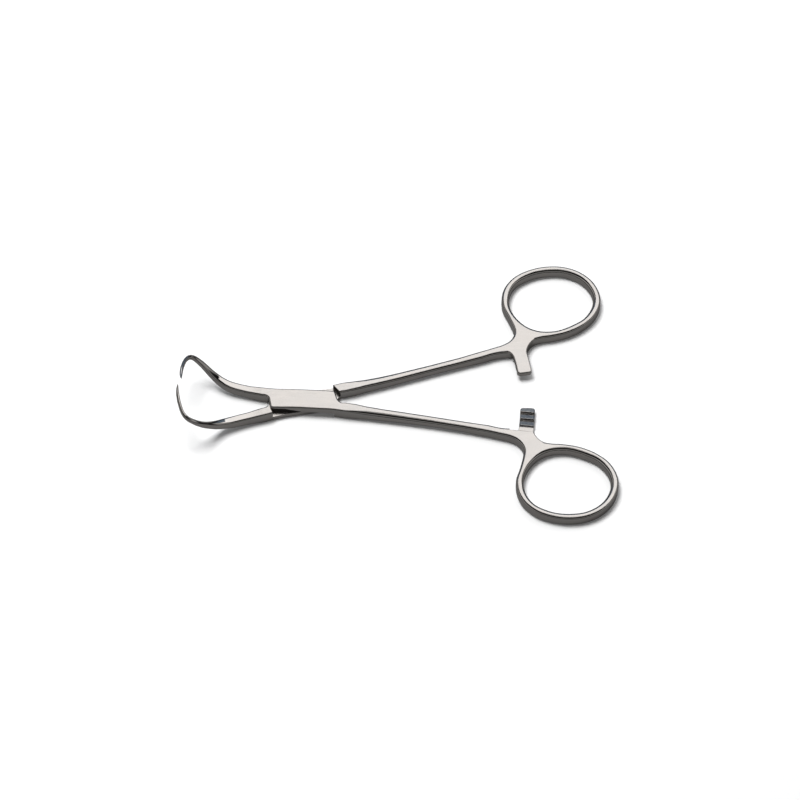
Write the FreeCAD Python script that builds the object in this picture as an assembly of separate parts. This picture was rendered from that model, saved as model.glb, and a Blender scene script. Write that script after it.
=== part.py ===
import FreeCAD, Part
import math
import os

# Towel clamp: two crossing halves on a flush lap joint, with curved pointed jaws at one end,
# finger rings at the other and a toothed ratchet between the handles.
# Lengths are millimetres and angles are degrees. The pivot axis is Z through the origin, +X
# points to the rings, and Z = 0 is the plane that the clamp lies on.
# Each half is drawn with its ring at +Y and its jaw at -Y. The upper half is then mirrored.

vec = FreeCAD.Vector

# Joint
joint_thickness = 4.4
joint_round = 0.6
joint_corner = 0.8
lap_gap = 0.05
closing_angle = 15.5
stop_gap = 0.25

# A bar starts this much inside the end face of the plate that it grows from
seam_step = 0.01

# Handle
web_thickness = 3.9
web_round = 0.9
web_end_x = 57.0
web_end_y = 13.75
web_end_width = 2.8
web_end_angle = 15.5

# Finger ring: mean radius of the hole and its departures from a circle. The hole's wall passes
# the root point, so a larger ring reaches further out.
ring_root_x = 71.60258
ring_root_y = 25.20258
ring_root_angle = 225.0
ring_hole_radius = 12.3
ring_bar = 2.4
ring_hole_round = 1.2
ring_oval = 1.08
ring_oval_turn = 7.2
ring_egg = 0.23
ring_egg_turn = 16.2
ring_corner = 0.15
ring_corner_turn = -16.7

# Ratchet arm: a band round the pivot, half as thick as the handle
arm_setback = 11.2
arm_width = 4.6
arm_root_angle = 12.3
arm_round = 0.45
arm_corner = 1.0
arm_flare = 1.8
upper_tip_angle = 4.1
lower_tip_angle = 5.3
tooth_count = 3
tooth_pitch = 2.02
tooth_height = 0.65
crest_gap = 0.1
upper_first_crest = 5.5
lower_first_crest = 6.5

# Pivot screw
screw_radius = 1.6
screw_clearance = 0.05
head_radius = 2.55
head_height = 1.0
head_clearance = 0.05
slot_width = 0.7
slot_depth = 0.45

# Jaw points pass each other at this distance from the middle of the hook
tip_offset = 0.58
tip_offset_start = -33.0
tip_offset_full = -36.0

# Both halves are set by hand and sway a little to one side: X, and the shift to +Y there
sway = [(-30.0, 0.0), (-22.0, -0.45), (-12.0, -0.45), (-3.0, 0.0), (24.0, 0.0),
        (40.0, 0.35), (57.0, 0.5), (65.0, 0.45), (71.0, 0.0)]

# Shank between joint and web: X, Y, width, top, bottom, outer round, inner round
shank_start = (13.5, 3.78, 3.5)
shank_start_angle = 12.5
shank_stations = [
    (16.5, 4.32, 3.45, 4.35, 0.03, 0.95, 0.75),
    (20.0, 5.08, 3.20, 4.20, 0.12, 1.35, 0.90),
    (25.0, 6.15, 3.05, 4.03, 0.25, 1.45, 0.95),
    (30.0, 7.24, 2.95, 3.90, 0.40, 1.42, 0.95),
    (40.0, 9.53, 2.72, 3.75, 0.60, 1.20, 0.95),
    (50.0, 11.95, 2.66, 3.74, 0.48, 1.05, 0.95)]

# Jaw: X, distance from the clamp's axis, height of the centre, width, depth, round
jaw_start = (-12.5, 3.85, 3.1)
jaw_start_angle = 13.7
jaw_stations = [
    (-16.5, 4.85, 2.34, 2.85, 3.60, 0.70),
    (-20.4, 5.95, 2.70, 2.80, 3.40, 0.72),
    (-22.3, 6.60, 3.00, 2.75, 3.30, 0.76),
    (-24.0, 7.30, 3.50, 2.65, 3.10, 0.82),
    (-25.6, 8.10, 4.25, 2.50, 2.90, 0.90),
    (-27.05, 9.00, 5.25, 2.35, 2.65, 0.98),
    (-28.5, 9.85, 6.45, 2.15, 2.40, 1.00),
    (-29.75, 10.65, 7.75, 2.00, 2.15, 0.96),
    (-31.0, 11.30, 9.15, 1.85, 1.95, 0.90),
    (-32.3, 11.75, 10.60, 1.65, 1.75, 0.80),
    (-33.7, 11.85, 12.00, 1.50, 1.60, 0.73),
    (-35.1, 11.20, 13.20, 1.30, 1.50, 0.63),
    (-36.2, 9.75, 14.05, 1.12, 1.42, 0.54),
    (-36.85, 7.95, 14.70, 1.05, 1.38, 0.51),
    (-37.3, 6.10, 15.20, 1.05, 1.36, 0.51),
    (-37.55, 4.15, 15.65, 1.00, 1.20, 0.48),
    (-37.6, 2.25, 16.20, 0.70, 0.80, 0.33),
    (-37.5, 1.40, 16.60, 0.40, 0.44, 0.18),
    (-37.4, 0.95, 16.85, 0.12, 0.12, 0.05)]

# Most that a shank or a jaw turns from one section to the next
shank_turn = 3.0
jaw_turn = 9.0

# Plan points of the joint plate, in the frame where the ring is at +Y
block_lower_edge = [(-8.3, -4.55), (-3.6, -3.95), (0.1, -3.6), (4.2, -3.18), (7.3, -2.85)]
block_upper_edge = [(8.9, 4.62), (5.5, 4.25), (2.4, 3.92), (-0.7, 3.57), (-3.8, 3.3), (-6.9, 2.98)]
end_face_right = [(10.3, -2.4), (10.85, -0.1), (11.95, 1.7)]
end_face_left = [(-9.95, 2.62), (-10.45, -0.9), (-11.3, -1.92)]

# Plan points of the web, as averages of both halves
notch_points = [(61.0, 16.4), (64.0, 17.4), (66.0, 18.6), (67.3, 20.2), (67.85, 22.1), (67.5, 24.3)]
web_inner_points = [(76.1, 19.5), (74.6, 19.1), (73.0, 18.4), (71.0, 17.0), (68.5, 15.4),
                    (66.5, 14.4), (65.0, 14.02), (63.3, 13.9), (61.0, 13.5)]
ring_start_angle = 205.0
ring_end_angle = -92.0
ring_stops = 13
hole_stops = 12
# Where the ratchet arm's flares meet the web: distance from the arm's side along X, and Y
arm_flare_left = (-3.8, 14.5)
arm_flare_right = [(-0.45, 17.3), (1.4, 19.05)]
arm_heel_left = (-1.4, 16.9)
arm_heel_right = (0.6, 20.3)

arm_inner_radius = web_end_x + arm_setback
arm_outer_radius = arm_inner_radius + arm_width
ring_x = ring_root_x - ring_hole_radius * math.cos(math.radians(ring_root_angle))
ring_y = ring_root_y - ring_hole_radius * math.sin(math.radians(ring_root_angle))
lap_height = joint_thickness / 2.0
ratchet_height = web_thickness / 2.0
up = vec(0, 0, 1)


def sway_at(x):
    """Sideways shift at X, straight between the stations."""
    if x <= sway[0][0]:
        return sway[0][1]
    for (x0, s0), (x1, s1) in zip(sway, sway[1:]):
        if x <= x1:
            return s0 + (s1 - s0) * (x - x0) / (x1 - x0)
    return sway[-1][1]


def turn(point, angle):
    """A plan point turned about the pivot."""
    a = math.radians(angle)
    x = point.x * math.cos(a) - point.y * math.sin(a)
    y = point.x * math.sin(a) + point.y * math.cos(a)
    return vec(x, y, point.z)


def direction(angle):
    a = math.radians(angle)
    return vec(math.cos(a), math.sin(a), 0)


def polar(radius, angle):
    return direction(angle) * radius


def unit(v):
    """The direction of a vector."""
    return v * (1.0 / v.Length)


def arc_to(start, end, along):
    """The arc that leaves its start in one direction and ends at a point."""
    chord = end - start
    turned = math.atan2(chord.x * along.y - chord.y * along.x, chord.dot(along))
    if abs(turned) < 1e-4:
        return Part.LineSegment(start, end).toShape()
    left = vec(-chord.y, chord.x, 0)
    middle = (start + end) * 0.5 + left * (math.tan(turned / 2.0) / 2.0)
    return Part.Arc(start, middle, end).toShape()


def slope(before, point, after):
    """Direction of the circle through three plan points, at the middle one."""
    first = point - before
    second = after - point
    return unit(first * (second.Length / first.Length) + second * (first.Length / second.Length))


def arc_run(points, start, end):
    """Tangent arcs through plan points, two from each point to the next."""
    slopes = [unit(start)]
    for before, point, after in zip(points, points[1:], points[2:]):
        slopes.append(slope(before, point, after))
    slopes.append(unit(end))
    edges = []
    for i in range(len(points) - 1):
        chord = points[i + 1] - points[i]
        both = slopes[i] + slopes[i + 1]
        bend = 2.0 * (1.0 - slopes[i].dot(slopes[i + 1]))
        if bend < 1e-9:
            reach = chord.dot(chord) / (2.0 * chord.dot(both))
        else:
            root = math.sqrt(chord.dot(both) ** 2 + bend * chord.dot(chord))
            reach = (root - chord.dot(both)) / bend
        meeting = (points[i] + points[i + 1] + (slopes[i] - slopes[i + 1]) * reach) * 0.5
        edges.append(arc_to(points[i], meeting, slopes[i]))
        edges.append(arc_to(points[i + 1], meeting, slopes[i + 1] * -1.0))
    return edges


def smooth_rows(rows, most_turn):
    """Rows of X, Y, Z and sizes, filled in smoothly so that no span turns more than an angle."""
    lengths = []
    for row, after in zip(rows, rows[1:]):
        lengths.append(math.dist(row[:3], after[:3]))
    slopes = []
    for i in range(len(rows)):
        first = max(i - 1, 0)
        last = min(i, len(lengths) - 1)
        weight = lengths[first] + lengths[last]
        rates = []
        for k in range(len(rows[0])):
            before = (rows[first + 1][k] - rows[first][k]) / lengths[first]
            after = (rows[last + 1][k] - rows[last][k]) / lengths[last]
            rates.append((before * lengths[last] + after * lengths[first]) / weight)
        slopes.append(rates)
    filled = []
    for i, length in enumerate(lengths):
        turned = math.degrees(vec(*slopes[i][:3]).getAngle(vec(*slopes[i + 1][:3])))
        count = max(1, math.ceil(turned / most_turn))
        for j in range(count):
            t = j / count
            row = []
            for p, q, u, v in zip(rows[i], rows[i + 1], slopes[i], slopes[i + 1]):
                ease = t * t * (3.0 - 2.0 * t)
                row.append(p + (q - p) * ease + length * t * (1.0 - t) * (u * (1.0 - t) - v * t))
            filled.append(row)
    filled.append(list(rows[-1]))
    return filled


def rounded_section(centre, side, up, width, height, side_round, other_round):
    """Closed outline of a bar: side_round on the +side corners, other_round on the others."""
    half_w = width / 2.0
    half_h = height / 2.0
    limit = min(half_w, half_h) * 0.96
    edges = []
    corners = [(1, -1, side_round), (1, 1, side_round), (-1, 1, other_round), (-1, -1, other_round)]
    arcs = []
    for sx, sy, r in corners:
        r = min(r, limit)
        middle = centre + side * (sx * (half_w - r)) + up * (sy * (half_h - r))
        on_side = middle + side * (sx * r)
        on_top = middle + up * (sy * r)
        diagonal = middle + (side * sx + up * sy) * (r / math.sqrt(2.0))
        first, last = (on_top, on_side) if sx * sy < 0 else (on_side, on_top)
        arcs.append((first, diagonal, last))
    for i, (first, diagonal, last) in enumerate(arcs):
        edges.append(Part.Arc(first, diagonal, last).toShape())
        edges.append(Part.LineSegment(last, arcs[(i + 1) % 4][0]).toShape())
    return Part.Wire(edges)


def flat_edges(solid, keep):
    """Edges that lie in one level of the solid's top or bottom and pass the test."""
    top = solid.BoundBox.ZMax
    bottom = solid.BoundBox.ZMin
    found = []
    for edge in solid.Edges:
        box = edge.BoundBox
        level = box.ZMax - box.ZMin < 1e-6
        outside = abs(box.ZMin - top) < 1e-6 or abs(box.ZMin - bottom) < 1e-6
        if level and outside and keep(edge):
            found.append(edge)
    return found


def upright_edges(solid, places):
    """Vertical edges that stand on the given plan points."""
    found = []
    for edge in solid.Edges:
        first, last = (v.Point for v in edge.Vertexes[:1] + edge.Vertexes[-1:])
        foot = vec(first.x, first.y, 0)
        vertical = (first - last).cross(up).Length < 1e-6 and (first - last).Length > 1e-6
        if vertical and min((foot - place).Length for place in places) < 1e-4:
            found.append(edge)
    return found


def on_plane(edge, point, normal):
    """Whether both ends of an edge lie on a plane."""
    return all(abs((v.Point - point).dot(normal)) < 1e-4 for v in edge.Vertexes)


def plate(edges, thickness):
    """A flat plate with the given outline."""
    wire = Part.Wire(Part.__sortEdges__(edges))
    return Part.Face(wire).extrude(vec(0, 0, thickness))


def ring_radius(angle):
    """Distance of the hole's wall from the ring's centre."""
    oval = ring_oval * math.cos(math.radians(2.0 * (angle - ring_oval_turn)))
    egg = ring_egg * math.cos(math.radians(3.0 * (angle - ring_egg_turn)))
    corner = ring_corner * math.cos(math.radians(4.0 * (angle - ring_corner_turn)))
    return ring_hole_radius + oval + egg + corner


def ring_point(angle, outward):
    return vec(ring_x, ring_y, 0) + direction(angle) * (ring_radius(angle) + outward)


class Half:
    """One half of the clamp. lean is +1 for the half that sways away from the axis at its ring."""

    def __init__(self, lean, tip_side):
        self.lean = lean
        self.tip_side = tip_side

    def at(self, x, y, z=0.0):
        return vec(x, y + self.lean * sway_at(x), z)

    def mate_at(self, x, y):
        """A plan point of the other half, in this half's frame, with the clamp closed."""
        return turn(vec(x, -y + self.lean * sway_at(x), 0), closing_angle)

    def shank_frame(self):
        x, y, width = shank_start
        ahead = direction(shank_start_angle)
        side = vec(-ahead.y, ahead.x, 0)
        return self.at(x, y), ahead, side, width

    def jaw_frame(self):
        x, y, width = jaw_start
        ahead = direction(180.0 + jaw_start_angle)
        side = vec(ahead.y, -ahead.x, 0) * -1.0
        return self.at(x, -y), ahead, side, width

    def joint_block(self):
        """The plate at the pivot, from the jaw's root to the shank's root."""
        s_mid, s_ahead, s_side, s_width = self.shank_frame()
        j_mid, j_ahead, j_side, j_width = self.jaw_frame()
        shank_outer = s_mid + s_side * (s_width / 2.0)
        shank_inner = s_mid - s_side * (s_width / 2.0)
        jaw_outer = j_mid + j_side * (j_width / 2.0)
        jaw_inner = j_mid - j_side * (j_width / 2.0)
        if jaw_outer.y > jaw_inner.y:
            jaw_outer, jaw_inner = jaw_inner, jaw_outer
        right_face = self.at(*end_face_right[0])
        right_mid = self.at(*end_face_right[1])
        left_face = self.at(*end_face_left[0])
        left_mid = self.at(*end_face_left[1])
        low = [self.at(x, y) for x, y in block_lower_edge]
        high = [self.at(x, y) for x, y in block_upper_edge]
        edges = arc_run([jaw_outer] + low + [right_face], j_ahead * -1.0, right_face - low[-1])
        edges.append(Part.LineSegment(right_face, right_mid).toShape())
        edges += arc_run([right_mid, self.at(*end_face_right[2]), shank_inner],
                         right_mid - right_face, s_ahead)
        edges.append(Part.LineSegment(shank_inner, shank_outer).toShape())
        edges += arc_run([shank_outer] + high + [left_face], s_ahead * -1.0, left_face - high[-1])
        edges.append(Part.LineSegment(left_face, left_mid).toShape())
        edges += arc_run([left_mid, self.at(*end_face_left[2]), jaw_inner],
                         left_mid - left_face, j_ahead)
        edges.append(Part.LineSegment(jaw_inner, jaw_outer).toShape())
        block = plate(edges, joint_thickness)
        corners = upright_edges(block, [right_face, left_face])
        block = block.makeFillet(joint_corner, corners)

        def outline(edge):
            return not on_plane(edge, s_mid, s_ahead) and not on_plane(edge, j_mid, j_ahead)

        return block.makeFillet(joint_round, flat_edges(block, outline))

    def shank(self):
        """The slim bar from the joint to the web, rounder on its outer side."""
        mid, ahead, side, width = self.shank_frame()
        end = self.at(web_end_x, web_end_y)
        inset = 2.0 * seam_step
        rows = [(mid.x, mid.y, lap_height, width - inset, joint_thickness - inset, joint_round,
                 joint_round)]
        for x, y, width, top, bottom, outer, inner in shank_stations:
            plan = self.at(x, y)
            rows.append((plan.x, plan.y, (top + bottom) / 2.0, width, top - bottom, outer, inner))
        rows.append((end.x, end.y, ratchet_height, web_end_width - inset, web_thickness - inset,
                     web_round, web_round))
        rows = smooth_rows(rows, shank_turn)
        sections = []
        for i, (x, y, z, width, height, outer, inner) in enumerate(rows):
            before = rows[max(i - 1, 0)]
            after = rows[min(i + 1, len(rows) - 1)]
            along = vec(after[0] - before[0], after[1] - before[1], 0)
            if i == 0:
                along = ahead
            if i == len(rows) - 1:
                along = direction(web_end_angle)
            side = unit(vec(-along.y, along.x, 0))
            sections.append(rounded_section(vec(x, y, z), side, up, width, height, outer, inner))
        return Part.makeLoft(sections, True, True)

    def jaw(self):
        """The jaw: a bar that sweeps up and round into a sharp point beside its mate's."""
        mid, ahead, side, width = self.jaw_frame()
        inset = 2.0 * seam_step
        rows = [(mid.x, mid.y, lap_height, width - inset, joint_thickness - inset, joint_round)]
        for x, y, z, width, depth, corner in jaw_stations:
            plan = self.at(x, -y)
            share = (tip_offset_start - x) / (tip_offset_start - tip_offset_full)
            share = max(0.0, min(1.0, share))
            ease = share * share * (3.0 - 2.0 * share)
            plan = plan + unit(plan) * (self.tip_side * tip_offset * ease)
            rows.append((plan.x, plan.y, z, width, depth, corner))
        rows = smooth_rows(rows, jaw_turn)
        sections = []
        for i, (x, y, z, width, depth, corner) in enumerate(rows):
            before = rows[max(i - 1, 0)]
            after = rows[min(i + 1, len(rows) - 1)]
            along = unit(vec(*after[:3]) - vec(*before[:3]))
            if i == 0:
                along = ahead
            out = unit(vec(along.y, -along.x, 0))
            rise = along.cross(out)
            if rise.z < 0:
                rise = rise * -1.0
            sections.append(rounded_section(vec(x, y, z), out, rise, width, depth, corner, corner))
        return Part.makeLoft(sections, True, True)

    def handle_plate(self):
        """Web and finger ring as one plate, with the hole's edge rounder than the outer one."""
        end = self.at(web_end_x, web_end_y)
        ahead = direction(web_end_angle)
        side = direction(web_end_angle + 90.0)
        outer = end + side * (web_end_width / 2.0)
        inner = end - side * (web_end_width / 2.0)
        rim = []
        for i in range(ring_stops + 1):
            angle = ring_start_angle + (ring_end_angle - ring_start_angle) * i / ring_stops
            rim.append(ring_point(angle, ring_bar))
        before = [outer] + [self.at(x, y) for x, y in notch_points]
        after = [self.at(x, y) for x, y in web_inner_points] + [inner]
        edges = arc_run(before + rim + after, ahead, ahead * -1.0)
        edges.append(Part.LineSegment(inner, outer).toShape())
        web = plate(edges, web_thickness)

        def outline(edge):
            return not on_plane(edge, end, ahead)

        web = web.makeFillet(web_round, flat_edges(web, outline))
        wall = [ring_point(360.0 * i / hole_stops, 0.0) for i in range(hole_stops + 1)]
        seam = slope(wall[-2], wall[0], wall[1])
        web = web.cut(plate(arc_run(wall, seam, seam), web_thickness))
        centre = vec(ring_x, ring_y, 0)

        def hole_edge(edge):
            away = edge.Vertexes[0].Point - centre
            distance = math.hypot(away.x, away.y)
            return distance < ring_hole_radius + ring_oval + ring_bar / 2.0

        return web.makeFillet(ring_hole_round, flat_edges(web, hole_edge))

    def arm(self, tip_angle):
        """The ratchet arm as a full-thickness band that flares into the web."""
        flare_start = arm_root_angle - 1.2
        left_tip = polar(arm_inner_radius, tip_angle)
        left_root = polar(arm_inner_radius, flare_start - 0.6)
        right_tip = polar(arm_outer_radius, tip_angle)
        right_root = polar(arm_outer_radius, flare_start)
        left_end = self.at(arm_inner_radius + arm_flare_left[0], arm_flare_left[1])
        right = [self.at(arm_outer_radius + x, y) for x, y in arm_flare_right]
        heel = [self.at(arm_inner_radius + arm_heel_left[0], arm_heel_left[1]),
                self.at(arm_outer_radius + arm_heel_right[0], arm_heel_right[1])]
        middle = (tip_angle + flare_start) / 2.0
        up_left = direction(flare_start + 89.4)
        up_right = direction(flare_start + 90.0)
        left_arc = Part.Arc(left_tip, polar(arm_inner_radius, middle), left_root).toShape()
        right_arc = Part.Arc(right_root, polar(arm_outer_radius, middle), right_tip).toShape()
        left_flare = arc_run([left_root, left_end], up_left, vec(-1, 0, 0))
        right_flare = arc_run([right[1], right[0], right_root], vec(-0.9, -0.45, 0),
                              up_right * -1.0)
        inner_lines = [Part.LineSegment(left_end, heel[0]).toShape(),
                       Part.LineSegment(heel[0], heel[1]).toShape(),
                       Part.LineSegment(heel[1], right[1]).toShape()]
        tip_line = Part.LineSegment(right_tip, left_tip).toShape()
        edges = [left_arc] + left_flare + inner_lines + right_flare + [right_arc, tip_line]
        band = plate(edges, web_thickness)
        band = band.makeFillet(arm_corner, upright_edges(band, [left_tip, right_tip]))

        def outline(edge):
            middle_point = edge.CenterOfMass
            straight = isinstance(edge.Curve, (Part.Line, Part.LineSegment))
            return not straight or middle_point.y < left_root.y

        return band.makeFillet(arm_round, flat_edges(band, outline))

    def tooth_tool(self, first_crest):
        """Space over the teeth: ramps that rise towards the handle and steep faces."""
        middle = (first_crest + arm_root_angle) / 2.0
        radius = (arm_inner_radius + arm_outer_radius) / 2.0
        out = direction(middle)
        across = direction(middle + 90.0)
        crest = ratchet_height - crest_gap / 2.0
        valley = crest - tooth_height
        face_lean = 0.15
        profile = [(first_crest - tooth_pitch - 4.0, valley), (first_crest - tooth_pitch, valley)]
        for i in range(tooth_count):
            angle = first_crest + i * tooth_pitch
            profile.append((angle, crest))
            profile.append((angle + face_lean, valley))
        profile.append((arm_root_angle, valley))
        profile.append((arm_root_angle, web_thickness + 1.0))
        profile.append((first_crest - tooth_pitch - 4.0, web_thickness + 1.0))
        base = out * (arm_inner_radius - arm_flare - 1.0)
        points = []
        for angle, z in profile:
            along = radius * math.tan(math.radians(angle - middle))
            points.append(base + across * along + vec(0, 0, z))
        face = Part.Face(Part.makePolygon(points + [points[0]]))
        return face.extrude(out * (arm_outer_radius - arm_inner_radius + arm_flare + 4.0))

    def lap_tool(self):
        """Space of the other half's plate: between two steps that it meets when closed."""
        corners = []
        for first, second in ((end_face_right[0], end_face_right[2]), (end_face_left[0], end_face_left[1])):
            start = self.mate_at(*first)
            stop = self.mate_at(*second)
            along = stop - start
            along.normalize()
            out = vec(-along.y, along.x, 0) * stop_gap
            corners.append(start + out - along * 25.0)
            corners.append(stop + out + along * 25.0)
        face = Part.Face(Part.makePolygon(corners + [corners[0]]))
        return face.extrude(vec(0, 0, joint_thickness))

    def blank(self, tip_angle):
        body = self.joint_block().fuse([self.shank(), self.jaw(), self.handle_plate()])
        return body.fuse(self.arm(tip_angle)).removeSplitter()


def make_lower_half():
    """Bottom layer at the joint, ratchet arm in the top layer with its teeth facing down."""
    half = Half(1.0, 1.0)
    body = half.blank(lower_tip_angle)
    lap = half.lap_tool()
    lap.translate(vec(0, 0, lap_height - lap_gap / 2.0))
    teeth = half.tooth_tool(lower_first_crest)
    teeth = teeth.mirror(vec(0, 0, ratchet_height), vec(0, 0, 1))
    bore = Part.makeCylinder(screw_radius + screw_clearance, joint_thickness)
    seat = Part.makeCylinder(head_radius + head_clearance, head_height + lap_gap)
    return body.cut([lap, teeth, bore, seat])


def make_upper_half():
    """Top layer at the joint, ratchet arm in the bottom layer with its teeth facing up."""
    half = Half(-1.0, -1.0)
    body = half.blank(upper_tip_angle)
    lap = half.lap_tool()
    lap.translate(vec(0, 0, lap_height + lap_gap / 2.0 - joint_thickness))
    teeth = half.tooth_tool(upper_first_crest)
    bore = Part.makeCylinder(screw_radius, joint_thickness)
    body = body.cut([lap, teeth, bore])
    return body.mirror(vec(0, 0, 0), vec(0, 1, 0))


def make_screw():
    """Slotted screw from below, threaded into the upper half and ground flush with its top."""
    head = Part.makeCylinder(head_radius, head_height - lap_gap, vec(0, 0, lap_gap))
    shaft = Part.makeCylinder(screw_radius, joint_thickness - lap_gap, vec(0, 0, lap_gap))
    slot = Part.makeBox(2.0 * head_radius, slot_width, slot_depth + lap_gap,
                        vec(-head_radius, -slot_width / 2.0, 0))
    return head.fuse(shaft).cut(slot).removeSplitter()


os.makedirs("parts", exist_ok=True)
nodes = {
    "upper_half": make_upper_half(),
    "lower_half": make_lower_half(),
    "pivot_screw": make_screw()}
for name, shape in nodes.items():
    shape.exportStep("parts/" + name + ".step")
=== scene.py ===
import math

import bpy
from mathutils import Matrix, Vector


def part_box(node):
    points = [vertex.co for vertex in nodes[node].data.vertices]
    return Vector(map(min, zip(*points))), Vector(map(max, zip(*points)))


# Towel clamp of satin steel on a white table. Lengths are metres in the frame of the CAD model:
# the pivot stands on the origin, +X points to the finger rings and Z = 0 is the table.

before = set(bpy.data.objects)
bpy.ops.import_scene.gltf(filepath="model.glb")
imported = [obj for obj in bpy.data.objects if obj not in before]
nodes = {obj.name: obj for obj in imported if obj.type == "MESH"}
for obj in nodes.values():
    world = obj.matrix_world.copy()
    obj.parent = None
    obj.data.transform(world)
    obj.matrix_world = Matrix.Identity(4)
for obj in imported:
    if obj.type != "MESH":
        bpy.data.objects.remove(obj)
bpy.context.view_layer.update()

# Camera: the top of the pivot lies at a known place in the 800 x 800 frame of the photograph
FRAME_PIXELS = 800.0
PIVOT_PIXEL = (302.0, 398.3)
PIVOT_TOP = 0.0044
VIEW_ELEVATION = math.radians(57.0)
CLAMP_TURN = math.radians(2.7)
VIEW_DISTANCE = 0.9899
FOCAL_PIXELS = 3172.0
SENSOR_WIDTH = 36.0
CLIP_NEAR = 0.05
CLIP_FAR = 20.0

# Shading of the CAD faces
JOIN_DISTANCE = 0.000002
SHARP_ANGLE = math.radians(28.0)

# Steel: colours, roughness, and the normal's Z between which an edge turns into a flat top
STEEL = (0.61, 0.574, 0.545, 1.0)
STEEL_GREY = (0.55, 0.54, 0.53, 1.0)
GREY_SHARE = 0.35
SATIN = 0.24
POLISHED = 0.06
UNEVEN = 0.03
EDGE_FACING = 0.90
TOP_FACING = 0.995

# Steel: noise scales and bump
CLOUD_SCALE = 140.0
GRAIN_SCALE = 5200.0
BRUSH_SCALE = 900.0
BRUSH_STRETCH = (0.25, 1.0, 1.0)
BRUSH_HEIGHT = 0.6
BUMP_STRENGTH = 0.10
BUMP_DISTANCE = 0.00003

# Steel: where the jaws are polished, and where the edges of the ratchet teeth are worn
JAW_POLISH_START = -0.012
JAW_POLISH_END = -0.022
TOOTH_WEAR = 0.00028
ARM_X = (0.060, 0.062)
ARM_Y = (0.0150, 0.0156)

# Table: paleness, the painted shade and faint painted glow it shows in the steel's reflections,
# and a painted glow to the camera that grows with distance from the clamp
TABLE_SIZE = 6.0
TABLE_TOP = -0.00005
TABLE_PALENESS = 0.86
MIRRORED_PAINTED_SHADE = 0.72
MIRRORED_PAINTED_GLOW = 0.03
PAINTED_GLOW_DISTANCE = (0.20, 0.90)
PAINTED_GLOW_STRENGTH = (0.06, 1.0)

# Room: brightness of its parts, and where they lie along the direction's Y or Z
ROOM_DIM = 0.008
ROOM_CEILING = 0.32
CEILING_HEIGHT = (0.965, 0.99)
ROOM_WALLS = 0.36
WALL_FOOT = (0.12, 0.34)
WALL_TOP = (0.55, 0.74)
ROOM_FAR = 0.20
FAR_SIDE = (0.2, 0.9)
ROOM_NEAR_SHARE = 0.55
NEAR_SIDE = (-0.85, -0.25)
WALL_WHITE = (1.0, 1.0, 1.0, 1.0)
WINDOW_BLUE = (0.56, 0.75, 1.0, 1.0)
WINDOW_SIDE = (0.5, 0.85)

# Lamps: place, size and brightness of the surface. Both face one point of the clamp
LAMP_TARGET = (0.03, 0.0, 0.0)
SOFTBOX = ((0.28, 0.62, 0.96), (1.30, 0.86), 1.34)
KEY = ((-0.24, 0.20, 1.15), (0.50, 0.50), 18.0)


def link(tree, start, end):
    """Joins an output to an input."""
    tree.links.new(start, end)


def map_range(tree, value, limits, results):
    """A number that follows another one smoothly between two limits."""
    node = tree.nodes.new("ShaderNodeMapRange")
    node.interpolation_type = "SMOOTHSTEP"
    node.inputs["From Min"].default_value = limits[0]
    node.inputs["From Max"].default_value = limits[1]
    node.inputs["To Min"].default_value = results[0]
    node.inputs["To Max"].default_value = results[1]
    link(tree, value, node.inputs["Value"])
    return node.outputs["Result"]


def math_node(tree, operation, first, second=0.0):
    """Arithmetic on two numbers or outputs."""
    node = tree.nodes.new("ShaderNodeMath")
    node.operation = operation
    for socket, value in zip(node.inputs, (first, second)):
        if isinstance(value, (int, float)):
            socket.default_value = value
        else:
            link(tree, value, socket)
    return node.outputs["Value"]


def separate(tree, vector):
    """The three parts of a vector."""
    node = tree.nodes.new("ShaderNodeSeparateXYZ")
    link(tree, vector, node.inputs["Vector"])
    return node.outputs


def noise(tree, vector, scale, detail, stretch=(1.0, 1.0, 1.0)):
    """A noise pattern, stretched along an axis where its stretch is small."""
    mapping = tree.nodes.new("ShaderNodeMapping")
    mapping.inputs["Scale"].default_value = stretch
    link(tree, vector, mapping.inputs["Vector"])
    node = tree.nodes.new("ShaderNodeTexNoise")
    node.inputs["Scale"].default_value = scale
    node.inputs["Detail"].default_value = detail
    link(tree, mapping.outputs["Vector"], node.inputs["Vector"])
    return node.outputs["Fac"]


def mix_color(tree, factor, first, second):
    """A colour between two colours."""
    node = tree.nodes.new("ShaderNodeMix")
    node.data_type = "RGBA"
    link(tree, factor, node.inputs["Factor"])
    node.inputs[6].default_value = first
    node.inputs[7].default_value = second
    return node.outputs[2]


def steel_roughness(tree, across, brushed):
    """Satin on the flat tops, polished on the edges and the jaws, and a little uneven."""
    normal = tree.nodes.new("ShaderNodeNewGeometry").outputs["Normal"]
    flat = map_range(tree, separate(tree, normal)["Z"], (EDGE_FACING, TOP_FACING), (0.0, 1.0))
    jaw = map_range(tree, across["X"], (JAW_POLISH_END, JAW_POLISH_START), (1.0, 0.0))
    flat = math_node(tree, "MULTIPLY", flat, math_node(tree, "SUBTRACT", 1.0, jaw))
    base = map_range(tree, flat, (0.0, 1.0), (POLISHED, SATIN))
    uneven = map_range(tree, brushed, (0.25, 0.75), (-UNEVEN, UNEVEN))
    return math_node(tree, "ADD", base, uneven)


def worn_teeth(tree, across):
    """Normals that round the edges of the ratchet teeth."""
    along = map_range(tree, across["X"], ARM_X, (0.0, 1.0))
    sideways = map_range(tree, math_node(tree, "ABSOLUTE", across["Y"]), ARM_Y, (1.0, 0.0))
    arm = math_node(tree, "MULTIPLY", along, sideways)
    worn = tree.nodes.new("ShaderNodeBevel")
    worn.samples = 6
    link(tree, math_node(tree, "MULTIPLY", arm, TOOTH_WEAR), worn.inputs["Radius"])
    return worn.outputs["Normal"]


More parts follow.
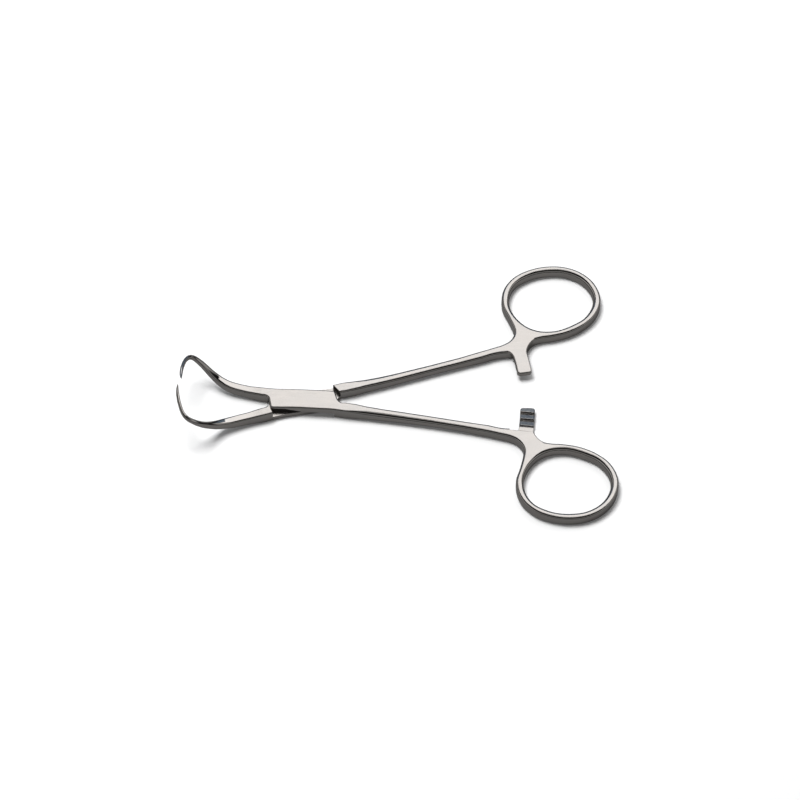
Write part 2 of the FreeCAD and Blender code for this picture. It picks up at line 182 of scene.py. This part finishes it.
def steel(name):
    """Satin and polished steel with faint stains, a fine grain and brushing along the clamp."""
    material = bpy.data.materials.new(name)
    material.use_nodes = True
    tree = material.node_tree
    shader = tree.nodes["Principled BSDF"]
    shader.inputs["Metallic"].default_value = 1.0
    place = tree.nodes.new("ShaderNodeTexCoord").outputs["Object"]
    across = separate(tree, place)

    cloud = noise(tree, place, CLOUD_SCALE, 3.0)
    grain = noise(tree, place, GRAIN_SCALE, 2.0)
    brushed = noise(tree, place, BRUSH_SCALE, 4.0, BRUSH_STRETCH)

    stain = map_range(tree, cloud, (0.3, 0.7), (0.0, GREY_SHARE))
    link(tree, mix_color(tree, stain, STEEL, STEEL_GREY), shader.inputs["Base Color"])
    link(tree, steel_roughness(tree, across, brushed), shader.inputs["Roughness"])

    bump = tree.nodes.new("ShaderNodeBump")
    bump.inputs["Strength"].default_value = BUMP_STRENGTH
    bump.inputs["Distance"].default_value = BUMP_DISTANCE
    height = math_node(tree, "ADD", grain, math_node(tree, "MULTIPLY", brushed, BRUSH_HEIGHT))
    link(tree, height, bump.inputs["Height"])
    link(tree, worn_teeth(tree, across), bump.inputs["Normal"])
    link(tree, bump.outputs["Normal"], shader.inputs["Normal"])
    return material


def smooth_group():
    """Nodes that join the borders of the CAD faces and shade across all but the sharp edges."""
    group = bpy.data.node_groups.new("smooth_shading", "GeometryNodeTree")
    for side in ("INPUT", "OUTPUT"):
        group.interface.new_socket("Geometry", in_out=side, socket_type="NodeSocketGeometry")
    start = group.nodes.new("NodeGroupInput")
    join = group.nodes.new("GeometryNodeMergeByDistance")
    join.inputs["Distance"].default_value = JOIN_DISTANCE
    plain = group.nodes.new("GeometryNodeRemoveAttribute")
    plain.inputs["Name"].default_value = "custom_normal"
    faces = group.nodes.new("GeometryNodeSetShadeSmooth")
    edges = group.nodes.new("GeometryNodeSetShadeSmooth")
    edges.domain = "EDGE"
    angle = group.nodes.new("GeometryNodeInputMeshEdgeAngle")
    blunt = group.nodes.new("FunctionNodeCompare")
    blunt.operation = "LESS_THAN"
    blunt.inputs["B"].default_value = SHARP_ANGLE
    link(group, angle.outputs["Unsigned Angle"], blunt.inputs["A"])
    link(group, blunt.outputs["Result"], edges.inputs["Shade Smooth"])
    chain = [start, join, plain, faces, edges, group.nodes.new("NodeGroupOutput")]
    for node, after in zip(chain, chain[1:]):
        link(group, node.outputs["Geometry"], after.inputs["Geometry"])
    return group


def shade_smooth(node, group):
    """Smooth shading in which large flat faces stay flat."""
    node.modifiers.new("smooth_shading", "NODES").node_group = group
    weighted = node.modifiers.new("flat_faces", "WEIGHTED_NORMAL")
    weighted.keep_sharp = True


def dress(node, material):
    """Gives a CAD node one material all over."""
    if not node.material_slots:
        node.data.materials.append(material)
    for slot in node.material_slots:
        slot.material = material


def table_material():
    """White to the camera through a painted glow that grows away from the clamp, painted grey
    in the steel's reflections, with the clamp's soft shadow.
    """
    material = bpy.data.materials.new("table_white")
    material.use_nodes = True
    tree = material.node_tree
    tree.nodes.clear()
    path = tree.nodes.new("ShaderNodeLightPath").outputs
    mirrored = math_node(tree, "ADD", path["Is Glossy Ray"], path["Is Transmission Ray"])

    diffuse = tree.nodes.new("ShaderNodeBsdfDiffuse")
    # Painted shade: glossy and transmission rays see the table far darker, so the steel mirrors
    # a grey table
    painted_reflection_shade = math_node(tree, "MULTIPLY", mirrored, MIRRORED_PAINTED_SHADE)
    link(tree, math_node(tree, "SUBTRACT", TABLE_PALENESS, painted_reflection_shade), diffuse.inputs["Color"])

    # Painted light: the table's glow to the camera grows from faint near the clamp to full
    # white far off
    distance = tree.nodes.new("ShaderNodeVectorMath")
    distance.operation = "LENGTH"
    link(tree, tree.nodes.new("ShaderNodeTexCoord").outputs["Object"], distance.inputs[0])
    painted_glow_by_distance = map_range(tree, distance.outputs["Value"], PAINTED_GLOW_DISTANCE, PAINTED_GLOW_STRENGTH)
    seen = math_node(tree, "MULTIPLY", path["Is Camera Ray"], painted_glow_by_distance)
    # Painted light: glossy and transmission rays also see a faint glow of the table
    painted_reflection_glow = math_node(tree, "MULTIPLY", mirrored, MIRRORED_PAINTED_GLOW)
    glow = tree.nodes.new("ShaderNodeEmission")
    link(tree, math_node(tree, "ADD", seen, painted_reflection_glow), glow.inputs["Strength"])

    both = tree.nodes.new("ShaderNodeAddShader")
    link(tree, diffuse.outputs["BSDF"], both.inputs[0])
    link(tree, glow.outputs["Emission"], both.inputs[1])
    output = tree.nodes.new("ShaderNodeOutputMaterial")
    link(tree, both.outputs["Shader"], output.inputs["Surface"])
    return material


def make_table():
    """A plain flat table, just under the clamp."""
    half = TABLE_SIZE / 2.0
    corners = [(-half, -half, 0), (half, -half, 0), (half, half, 0), (-half, half, 0)]
    mesh = bpy.data.meshes.new("table")
    mesh.from_pydata(corners, [], [(0, 1, 2, 3)])
    mesh.materials.append(table_material())
    table = bpy.data.objects.new("table", mesh)
    table.location.z = TABLE_TOP
    bpy.context.collection.objects.link(table)


def make_lamp(name, place, size, brightness):
    """An area lamp with a given brightness of its surface."""
    data = bpy.data.lights.new(name, "AREA")
    data.shape = "RECTANGLE"
    data.size = size[0]
    data.size_y = size[1]
    data.energy = brightness * math.pi * size[0] * size[1]
    lamp = bpy.data.objects.new(name, data)
    lamp.location = place
    away = lamp.location - Vector(LAMP_TARGET)
    lamp.rotation_euler = away.to_track_quat("Z", "Y").to_euler()
    lamp.visible_camera = False
    bpy.context.collection.objects.link(lamp)
    return lamp


def make_world():
    """A room with pale walls, a pale ceiling and a blue window behind the table."""
    world = bpy.data.worlds.new("room")
    bpy.context.scene.world = world
    world.use_nodes = True
    tree = world.node_tree
    background = tree.nodes["Background"]
    side = separate(tree, tree.nodes.new("ShaderNodeTexCoord").outputs["Generated"])

    walls = map_range(tree, side["Y"], FAR_SIDE, (ROOM_WALLS, ROOM_FAR))
    for share in (map_range(tree, side["Y"], NEAR_SIDE, (ROOM_NEAR_SHARE, 1.0)),
                  map_range(tree, side["Z"], WALL_FOOT, (0.0, 1.0)),
                  map_range(tree, side["Z"], WALL_TOP, (1.0, 0.0))):
        walls = math_node(tree, "MULTIPLY", walls, share)
    ceiling = map_range(tree, side["Z"], CEILING_HEIGHT, (ROOM_DIM, ROOM_CEILING))
    glow = math_node(tree, "ADD", walls, ceiling)
    seen = tree.nodes.new("ShaderNodeLightPath").outputs["Is Camera Ray"]
    link(tree, math_node(tree, "MAXIMUM", glow, seen), background.inputs["Strength"])

    window = map_range(tree, side["Y"], WINDOW_SIDE, (0.0, 1.0))
    window = math_node(tree, "MULTIPLY", window, math_node(tree, "SUBTRACT", 1.0, seen))
    link(tree, mix_color(tree, window, WALL_WHITE, WINDOW_BLUE), background.inputs["Color"])


def make_camera():
    """The photograph's camera, worked out from the pivot's place in its frame."""
    data = bpy.data.cameras.new("camera")
    data.sensor_width = SENSOR_WIDTH
    data.lens = FOCAL_PIXELS * SENSOR_WIDTH / FRAME_PIXELS
    data.clip_start = CLIP_NEAR
    data.clip_end = CLIP_FAR
    camera = bpy.data.objects.new("camera", data)
    bpy.context.collection.objects.link(camera)
    sine = math.sin(VIEW_ELEVATION)
    cosine = math.cos(VIEW_ELEVATION)
    right = Vector((1.0, 0.0, 0.0))
    up = Vector((0.0, sine, cosine))
    back = Vector((0.0, -cosine, sine))
    across = (PIVOT_PIXEL[0] - FRAME_PIXELS / 2.0) / FOCAL_PIXELS
    down = (PIVOT_PIXEL[1] - FRAME_PIXELS / 2.0) / FOCAL_PIXELS
    pivot_top = Vector((0.0, 0.0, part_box("upper_half")[0][2] + PIVOT_TOP))
    place = pivot_top + (back - right * across + up * down) * VIEW_DISTANCE
    axes = Matrix((right, up, back)).transposed().to_4x4()
    unturn = Matrix.Rotation(-CLAMP_TURN, 4, "Z")
    camera.matrix_world = unturn @ Matrix.Translation(place) @ axes
    bpy.context.scene.camera = camera


shading = smooth_group()
for piece in nodes.values():
    shade_smooth(piece, shading)
dress(nodes["upper_half"], steel("upper_steel"))
dress(nodes["lower_half"], steel("lower_steel"))
dress(nodes["pivot_screw"], steel("screw_steel"))

make_table()
make_world()
make_lamp("softbox", *SOFTBOX)
key = make_lamp("key", *KEY)
key.visible_glossy = False
make_camera()
bpy.context.scene.view_settings.view_transform = "Standard"
